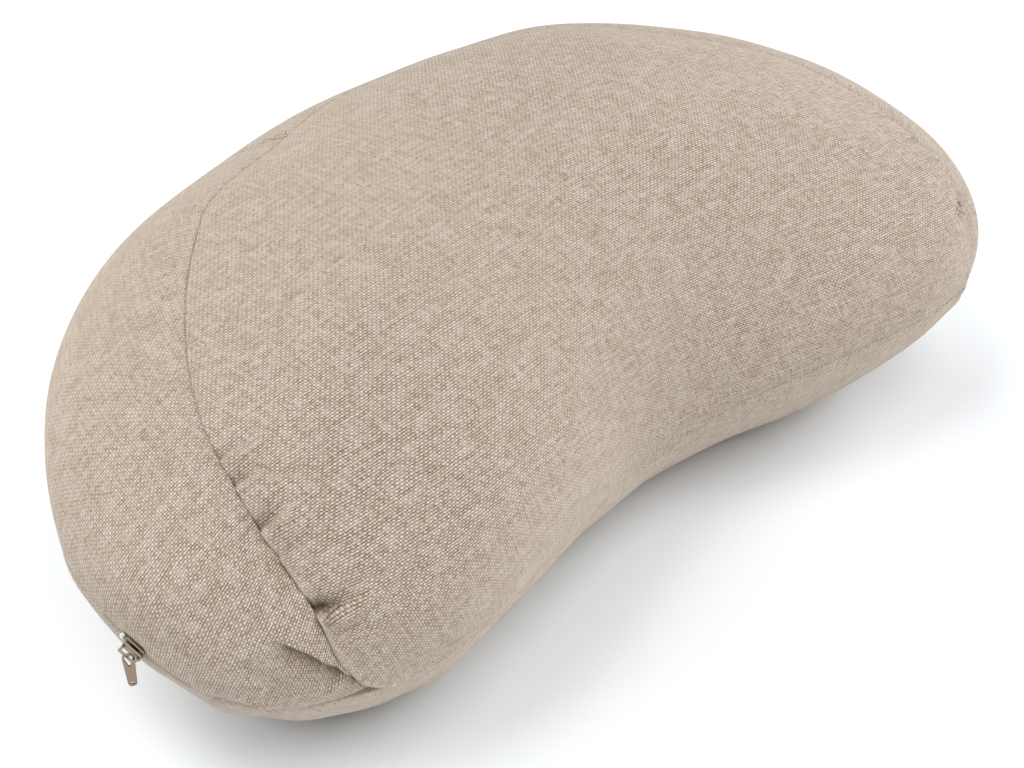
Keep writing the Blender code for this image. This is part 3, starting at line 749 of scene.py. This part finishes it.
def flatten(places, tip):
    """Flat places, in mm, of a coarse grid of the panel."""
    columns, rows = places.shape[:2]
    points = places.reshape(-1, 3).tolist()
    faces = grid_faces(columns, rows, tip is not None).tolist()
    if tip is not None:
        points.append(tip)
        faces += [(len(points) - 1, c * rows, (c + 1) % columns * rows) for c in range(columns)]
    mesh = bpy.data.meshes.new("pattern")
    mesh.from_pydata([[c * MM for c in p] for p in points], [], faces)
    pattern = bpy.data.objects.new("pattern", mesh)
    bpy.context.scene.collection.objects.link(pattern)
    bpy.context.view_layer.objects.active = pattern
    pattern.select_set(True)
    bpy.ops.object.mode_set(mode="EDIT")
    bpy.ops.mesh.select_all(action="SELECT")
    bpy.ops.uv.unwrap(method="MINIMUM_STRETCH", iterations=30, margin=0.0)
    bpy.ops.object.mode_set(mode="OBJECT")
    corners = np.zeros(len(mesh.loops), dtype=np.int32)
    mesh.loops.foreach_get("vertex_index", corners)
    found = np.zeros(len(mesh.loops) * 2, dtype=np.float32)
    mesh.uv_layers.active.data.foreach_get("uv", found)
    flat = np.zeros((len(points), 2))
    flat[corners] = found.reshape(-1, 2)
    edges = np.zeros(len(mesh.edges) * 2, dtype=np.int32)
    mesh.edges.foreach_get("vertices", edges)
    first, second = edges.reshape(-1, 2).T
    solid = np.array(points)
    real = np.linalg.norm(solid[first] - solid[second], axis=1)
    drawn = np.linalg.norm(flat[first] - flat[second], axis=1)
    flat *= (real * drawn).sum() / (drawn * drawn).sum()
    bpy.data.objects.remove(pattern, do_unlink=True)
    return flat[: columns * rows].reshape(columns, rows, 2)


def aligned(flat, places, middle, grain):
    """Turns a flat pattern so that its U axis is the direction grain, at the place nearest to middle."""
    gap = np.linalg.norm(places - np.array(middle), axis=-1)
    c, r = np.unravel_index(np.argmin(gap), gap.shape)
    c, r = np.clip(c, 1, gap.shape[0] - 2), np.clip(r, 1, gap.shape[1] - 2)
    steps = np.stack([places[c + 1, r] - places[c - 1, r], places[c, r + 1] - places[c, r - 1]])
    moves = np.stack([flat[c + 1, r] - flat[c - 1, r], flat[c, r + 1] - flat[c, r - 1]])
    shares = np.linalg.lstsq(steps.T, np.array(grain, dtype=float), rcond=None)[0]
    way = shares @ moves
    turn = -math.atan2(way[1], way[0])
    spin = np.array(((math.cos(turn), math.sin(turn)), (-math.sin(turn), math.cos(turn))))
    return (flat - flat[c, r]) @ spin


def flat_pattern(angles, turns, edges, tip, middle, grain, pulled):
    """Flat places, in mm, of the panel's own grid, read from a coarse copy that was unwrapped."""
    start, end = edges
    closed = tip is not None
    if closed:
        coarse = np.arange(0.0, 360.0, COARSE_STEP)
    else:
        coarse = np.linspace(angles[0], angles[-1], int((angles[-1] - angles[0]) / COARSE_STEP) + 1)
    way = 1.0 if end(coarse[:1])[0] > start(coarse[:1])[0] else -1.0

    def limits(at):
        first = start(at) if closed else eased(start, at, -way)
        return first[:, None], eased(end, at, way)[:, None]

    rows = np.linspace(0.05 if closed else 0.0, 1.0, COARSE_ROWS)
    power = CROWN_POWER if closed else 1.0
    first, last = limits(coarse)
    places = cover_point(coarse[:, None], first + (last - first) * rows**power)
    flat = aligned(flatten(places, tip), places, middle, grain)
    flat[..., 1] -= pulled * flat[..., 0]
    if closed:
        coarse = np.concatenate([coarse[-3:] - 360.0, coarse, coarse[:3] + 360.0])
        flat = np.concatenate([flat[-3:], flat, flat[:3]])
    first, last = limits(angles)
    wanted = (np.clip((turns - first) / (last - first), 1e-6, None) ** (1.0 / power)).T
    columns = between(coarse, flat, angles)  # the coarse rows at the panel's own columns
    return between(rows, columns.transpose(1, 0, 2), wanted).transpose(1, 0, 2)


# %% Build a panel
PAINTED_SHADE_FROM, PAINTED_SHADE_RANGE = 1.2, 5.0  # mm: where painted shade starts in drawn-in cloth, and over what depth it deepens


def build_panel(name, angles, fractions, edges, rims, relief, lint, middle, grain, tip=None, pulled=0.0):
    """A panel as a mesh object in metres, with its flat pattern as a UV map.

    Columns stand at angles, and rows at fractions of the way between two edges. A tip closes a crescent
    in its middle. Rims are the rows past which a seam allowance turns in: -1 the last, 0 the first. The
    threads lie in the direction grain at the place middle, or off it by the share pulled.
    """
    start, end = edges
    closed = tip is not None
    placed, normals, turns, sunk = panel_points(angles, fractions, start(angles), end(angles), relief)
    drawn = flat_pattern(angles, turns, edges, tip, middle, grain, pulled)
    grid = [placed]
    for rim in rims:
        for depth in RIM_DEPTHS:
            inner = placed[:, rim] - normals[:, rim] * depth
            if rim == -1:
                grid.append(inner[:, None])
                drawn = np.concatenate([drawn, drawn[:, -1:]], axis=1)
                sunk = np.concatenate([sunk, sunk[:, -1:] + depth], axis=1)
            else:
                grid.insert(0, inner[:, None])
                drawn = np.concatenate([drawn[:, :1], drawn], axis=1)
                sunk = np.concatenate([sunk[:, :1] + depth, sunk], axis=1)
    grid = np.concatenate(grid, axis=1)
    columns, rows = grid.shape[:2]
    points, uv, sunk = grid.reshape(-1, 3), drawn.reshape(-1, 2), sunk.ravel()
    faces = grid_faces(columns, rows, closed).tolist()
    if closed:
        points = np.concatenate([points, placed[:, :1].mean(axis=0)])
        uv = np.concatenate([uv, drawn[:, :1].mean(axis=0)])
        sunk = np.append(sunk, 0.0)
        faces += [(len(points) - 1, c * rows, (c + 1) % columns * rows) for c in range(columns)]
    mesh = bpy.data.meshes.new(name)
    mesh.from_pydata((points * MM).tolist(), [], faces)
    corners = np.zeros(len(mesh.loops), dtype=np.int32)
    mesh.loops.foreach_get("vertex_index", corners)
    layer = mesh.uv_layers.new(name="flat_pattern")
    layer.data.foreach_set("uv", (uv[corners] * MM).astype(np.float32).ravel())
    # Values carried to the linen: how open the weave stands, lint with painted sheen and highlight, and the
    # drawn-in depth that becomes painted shade in creases, folds and seam allowances.
    deep = np.clip((sunk - PAINTED_SHADE_FROM) / PAINTED_SHADE_RANGE, 0.0, 1.0)
    worn = {"open_weave": open_weave(points), "lint": lint(points), "sunk": deep}
    for title, values in worn.items():
        mesh.attributes.new(title, "FLOAT", "POINT").data.foreach_set("value", values.astype(np.float32))
    mesh.shade_smooth()
    made = bpy.data.objects.new(name, mesh)
    bpy.context.scene.collection.objects.link(made)
    print(f"{name}: {sum(len(p.vertices) - 2 for p in mesh.polygons)} triangles")
    return made


# %% [markdown]
# ## Three panels
# The top runs over the crown and down the hollow side, so its rows start at a tip on the crown. The band
# is a strip between two seams, which meet at the horns. The base is a crescent like the top, flat where
# the cushion stands. Each gets its own relief, because a seam looks different from either side.

# %% The top panel
PULLED = 0.268  # filling pulled the top's threads off square by this share


def top_relief(points):
    """Seam, strip and pleats, and the stretch that stands proud over the band's folded tip."""
    depth = upper_seam_depth(points, "top") + fold_depth(points, STRIP)
    depth += crease_depth(points, TOP_CREASES) + crease_depth(points, mirrored(TOP_CREASES))
    places, proud = TIP[0], TIP[-1]
    gap, share = from_line(points, places, 20.0)
    fades = smooth_step(share / 0.3) * smooth_step((1.3 - share) / 0.4)
    return depth - proud * fades * np.exp(-((gap / PROUD_REACH) ** 2))


round_angles = column_angles(0.0, 360.0)
CROWN_IN_PLAN = (CROWN_AT[0] + CENTRE[0], CROWN_AT[1] + CENTRE[1])
left_over = 1.0 - np.arange(1, TOP_ROWS + 1) / TOP_ROWS
top_fractions = 1.0 - 0.19 * left_over - 0.81 * left_over**2.6
top = build_panel(
    "cover_top",
    angles=round_angles,
    fractions=top_fractions,
    edges=(np.zeros_like, lambda a: turn_at(a, UPPER(a))),
    rims=(-1,),
    relief=top_relief,
    lint=top_lint_and_sheen,
    middle=(0.0, 0.0, 165.0),
    grain=(0.0, 1.0, 0.0),
    tip=(*CROWN_IN_PLAN, HEIGHT),
    pulled=PULLED,
)


# %% The band
def band_relief(points):
    """Both seams, the folds and creases of the tip, and the tuck behind."""
    depth = np.maximum(upper_seam_depth(points, "band"), lower_seam_depth(points))
    for row in (FLAP, TIP, DIP):
        depth += fold_depth(points, row)
    depth += crease_depth(points, BAND_CREASES, lens=True)
    places, deep, above, below = TUCK
    gap, share = from_line(points, places, 20.0)
    fades = smooth_step(share / 0.5) * smooth_step((1.25 - share) / 0.2)
    return depth + deep * fades * np.exp(-((gap / np.where(gap > 0.0, above, below)) ** 2))


band_angles = column_angles(RIGHT_HORN - 360.0, LEFT_HORN)
even = np.arange(BAND_ROWS + 1) / BAND_ROWS
band_fractions = 0.45 * even + 0.55 * (0.5 - 0.5 * np.cos(math.pi * even))
band = build_panel(
    "cover_band",
    angles=band_angles,
    fractions=band_fractions,
    edges=(lambda a: turn_at(a, UPPER(a)), lambda a: turn_at(a, LOWER(a))),
    rims=(0, -1),
    relief=band_relief,
    lint=band_lint,
    middle=(-208.0, -40.0, 118.0),
    grain=(0.1, -1.0, -0.18),
)


# %% The base
BASE_TOP = 90.0  # the base lies below this height, and so do the seams that it shares


def base_relief(points):
    """The lower seam, the seam of the hollow side and the end of the crease that crosses from the band."""
    low = points[:, 2] < BASE_TOP
    depth = np.maximum(lower_seam_depth(points), upper_seam_depth(points, "top") * low)
    return depth + crease_depth(points, BAND_CREASES[:1], lens=True)


base = build_panel(
    "cover_base",
    angles=round_angles,
    fractions=1.0 - (1.0 - np.arange(1, BASE_ROWS + 1) / BASE_ROWS) ** 1.5,
    edges=(lambda a: np.full_like(a, 180.0), lambda a: turn_at(a, LOWER(a))),
    rims=(-1,),
    relief=base_relief,
    lint=base_lint_and_sheen,
    middle=(0.0, 0.0, 0.0),
    grain=(1.0, 0.0, 0.0),
    tip=(*CROWN_IN_PLAN, 0.0),
)

# %% [markdown]
# ## Linen
# The real cloth is undyed linen in a coarse plain weave: each thread goes over one and under the next,
# which gives the eye a fine, dry, dotted surface with small dark holes. A photograph of linen would repeat
# and smear, so the weave is built from two sine waves at right angles. Their signs say which thread is on
# top, and their sizes give each thread its round back. Threads wander and change thickness, as hand-spun
# flax does. Three values that each panel carries change the cloth from place to place.

# %% Linen material
THREAD_ACROSS = 0.93  # mm from one crosswise thread to the next
THREAD_ALONG = 0.97  # mm from one lengthwise thread to the next
THREAD_WANDER = 0.9  # mm that a thread strays from its straight line
SWING = 0.36  # how far a thread rises and dips, as a share of the cloth's thickness
HALF_WAY, MIDDLE_TONE = 0.66, 0.62  # the height of the weave that keeps its tone, and that tone's place
# For the threads that cross X and Y: their spacing, how the noise is stretched that makes them thick and
# thin along their length, and the powers of the wave that make a thread thin or full.
THREADS = (
    ("X", THREAD_ACROSS, (1.0, 0.09, 0.0), (0.58, 0.4)),
    ("Y", THREAD_ALONG, (0.09, 1.0, 0.0), (0.74, 0.5)),
)
FLAX = (  # from the holes up to the backs of the threads
    (0.0, "#271B12"), (0.22, "#564434"), (0.42, "#8F7F70"), (0.64, "#ACA195"), (1.0, "#C2BBB4"),
)


def make_linen():
    """Natural linen: a weave in the colour and the bump, changed by the values that a panel carries."""
    made, tree, shader = new_material("natural_linen", "#B4A797")
    put = partial(add, tree)
    plane = {"noise_dimensions": "2D"}
    carried = "open_weave", "lint", "sunk"
    nodes = [put("ShaderNodeAttribute", {"attribute_name": name}) for name in carried]
    open_threads, lint, sunk = (node.outputs["Fac"] for node in nodes)

    # Places on the flat pattern in millimetres, moved as far as the threads wander.
    place = put("ShaderNodeUVMap", {"uv_map": "flat_pattern"})
    flat = put(VECTOR_MATH, "MULTIPLY", place, (1000.0, 1000.0, 0.0))
    drift = put(NOISE, plane, Vector=flat, Scale=0.13, Detail=2.0)
    stray = put(VECTOR_MATH, "SUBTRACT", drift.outputs["Color"], (0.5, 0.5, 0.5))
    moved = put(VECTOR_MATH, "MULTIPLY_ADD", stray, (THREAD_WANDER, THREAD_WANDER, 0.0), flat)
    axes = put("ShaderNodeSeparateXYZ", None, moved).outputs

    # Yarn runs thick and thin: a low power makes a full thread, a high power a thin one with wide gaps.
    waves, yarns, rounds = [], [], []
    for axis, spacing, stretch, (thin, full) in THREADS:
        wave = put(MATH, "SINE", put(MATH, "MULTIPLY", axes[axis], math.pi / spacing))
        yarn = put(NOISE, plane, Vector=put(VECTOR_MATH, "MULTIPLY", moved, stretch), Scale=1.0, Detail=0.0)
        power = put(RANGE, None, Value=yarn, From_Min=0.3, From_Max=0.7, To_Min=thin, To_Max=full)
        waves.append(wave)
        yarns.append(yarn)
        rounds.append(put(MATH, "POWER", put(MATH, "ABSOLUTE", wave), power))
    over_a = put(MATH, "MULTIPLY", put(MATH, "SIGN", waves[0]), waves[1])
    over_b = put(MATH, "MULTIPLY", put(MATH, "SIGN", waves[1]), waves[0])
    high_a = put(MATH, "MULTIPLY", rounds[0], put(MATH, "MULTIPLY_ADD", over_a, SWING, 1.0 - SWING))
    high_b = put(MATH, "MULTIPLY", rounds[1], put(MATH, "MULTIPLY_ADD", over_b, -SWING, SWING))
    height = put(MATH, "MAXIMUM", high_a, high_b)

    # Lint hides the holes: in patches all over, and where the cloth is worn, which in places is also painted
    # highlight, sheen and bounce light. Each crossing of two threads is a little lighter or darker than the
    # next, and open weave shows more contrast.
    cloud = put(NOISE, plane, Vector=flat, Scale=0.25, Detail=2.0)
    patches = put(RANGE, None, Value=cloud, From_Min=0.55, From_Max=0.75, To_Min=0.0, To_Max=0.35)
    bare = put(MATH, "SUBTRACT", 1.0, put(MATH, "MINIMUM", put(MATH, "ADD", patches, lint), 0.85))
    cell = put(VECTOR_MATH, "FLOOR", put(VECTOR_MATH, "DIVIDE", moved, (THREAD_ACROSS, THREAD_ALONG, 1.0)))
    crossing = put("ShaderNodeTexWhiteNoise", plane, Vector=cell)
    uneven = put(MATH, "ADD", height, put(RANGE, None, Value=crossing, To_Min=-0.09, To_Max=0.09))
    level = put(MATH, "MULTIPLY_ADD", put(MATH, "SUBTRACT", uneven, HALF_WAY), bare, 0.04)
    gain = put(MATH, "MULTIPLY_ADD", open_threads, 0.95, 0.5)
    tone_at = put(MATH, {"operation": "MULTIPLY_ADD", "use_clamp": True}, level, gain, MIDDLE_TONE)
    cloth = put("ShaderNodeValToRGB", None, tone_at)
    ramp = cloth.color_ramp
    for mark, (position, shade) in zip(ramp.elements, (FLAX[0], FLAX[-1])):
        mark.position, mark.color = position, linear(shade)
    for position, shade in FLAX[1:-1]:
        ramp.elements.new(position).color = linear(shade)

    # Some lengths of yarn are darker and a few slubs are brown. Creases, folds and turned-in seam allowances
    # get painted shade: a dark brown mixed in by how deep the cloth is drawn in.
    length = put(RANGE, None, Value=put(MATH, "ADD", *yarns), From_Min=0.7, From_Max=1.3)
    tone = put(MIX, MIX_COLOURS, length, _6=linear("#EFE9E2"), _7=linear("#FFFFFF")).outputs[2]
    toned = put(MIX, {**MIX_COLOURS, "blend_type": "MULTIPLY"}, 1.0, _6=cloth, _7=tone).outputs[2]
    slub = put(RANGE, None, Value=crossing, From_Min=0.984, From_Max=0.988, To_Min=0.0, To_Max=0.55)
    specked = put(MIX, MIX_COLOURS, slub, _6=toned, _7=linear("#7A5C40")).outputs[2]
    # Painted shade in creases, folds and seam allowances.
    deep = put(MATH, "MULTIPLY", put(MATH, "POWER", sunk, 1.6), 0.85)
    folded = put(MIX, MIX_COLOURS, deep, _6=specked, _7=linear("#4A3624")).outputs[2]
    tree.links.new(folded, shader.inputs["Base Color"])

    bump = put("ShaderNodeBump", None, Height=height, Strength=0.55, Distance=0.0003)
    tree.links.new(bump.outputs["Normal"], shader.inputs["Normal"])
    shader.inputs["Roughness"].default_value = 0.9
    shader.inputs["Specular IOR Level"].default_value = 0.2
    shader.inputs["Sheen Weight"].default_value = 0.2
    shader.inputs["Sheen Roughness"].default_value = 0.4
    shader.inputs["Sheen Tint"].default_value = linear("#E6E0D8")
    return made


linen = make_linen()
for panel in (top, band, base):
    panel.data.materials.append(linen)
print(f"linen with {10.0 / THREAD_ACROSS:.1f} by {10.0 / THREAD_ALONG:.1f} threads a cm")

# %% [markdown]
# ## Zip
# The slider, its pull and the two stops keep the shape of their solids and only get their finishes.
# Slider and pull are zinc, bronze plated and tumbled: satin, paler where fingers rub and nearly black in
# the recesses, as patina. The stops are nickelled wire and the coil is nylon, dyed to match the cloth;
# their dark recesses are painted shade. The dark could be painted by hand; here an ambient occlusion node
# finds the recesses of every small piece by itself.

# %% Metals and nylon
RECESS_REACH = 1.6  # mm: how far a point looks for walls that make it a recess
RECESSED, OPEN = 0.35, 0.95  # occlusion at which the finish is at its darkest and at its palest


def zip_finish(name, face_colour, patina_and_shade, metallic, roughness, grain_mm):
    """A finish with fine satin marks, its face colour on open faces and a dark colour in its recesses:
    patina on the bronze, painted shade on the nickel and the nylon.
    """
    made, tree, shader = new_material(name, face_colour)
    put = partial(add, tree)
    place = put("ShaderNodeTexCoord").outputs["Object"]
    marks = put(NOISE, None, Vector=place, Scale=1.0 / (grain_mm * MM), Detail=3.0)
    looks = {"samples": 8, "only_local": True}
    shade = put("ShaderNodeAmbientOcclusion", looks, Distance=RECESS_REACH * MM)
    open_face = put(RANGE, None, Value=shade.outputs["AO"], From_Min=RECESSED, From_Max=OPEN)
    mixed = put(MIX, MIX_COLOURS, open_face, _6=linear(patina_and_shade), _7=linear(face_colour))
    tree.links.new(mixed.outputs[2], shader.inputs["Base Color"])
    satin = put(RANGE, None, Value=marks, To_Min=roughness - 0.08, To_Max=roughness + 0.12)
    tree.links.new(satin.outputs["Result"], shader.inputs["Roughness"])
    worn = put("ShaderNodeBump", None, Height=marks, Strength=0.25, Distance=0.05 * MM)
    tree.links.new(worn.outputs["Normal"], shader.inputs["Normal"])
    shader.inputs["Metallic"].default_value = metallic
    return made


# The second colour is patina in the bronze's recesses and painted shade in those of the nickel and the
# nylon.
bronze = zip_finish("bronzed_zinc", "#93816F", "#2A1D13", 1.0, 0.42, 0.4)
nickel = zip_finish("nickelled_wire", "#D8D2C8", "#4A4038", 1.0, 0.35, 0.4)
nylon = zip_finish("nylon_coil", "#97846E", "#4B3B2C", 0.0, 0.55, 0.3)
finishes = {
    "zip_slider": bronze,
    "zip_pull": bronze,
    "zip_stop_upper": nickel,
    "zip_stop_lower": nickel,
    "zip_coil": nylon,
}
for name, finish in finishes.items():
    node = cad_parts[name]
    node.data.materials.clear()
    node.data.materials.append(finish)
    print(name, "is", finish.name)

# %% [markdown]
# ## The panels in place of the solid
# The three panels stand for the filled solid, which is hidden, and ride with it.

# %% Ride, replace and finish
for panel in (top, band, base):
    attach(panel, "root")
    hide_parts("cushion")
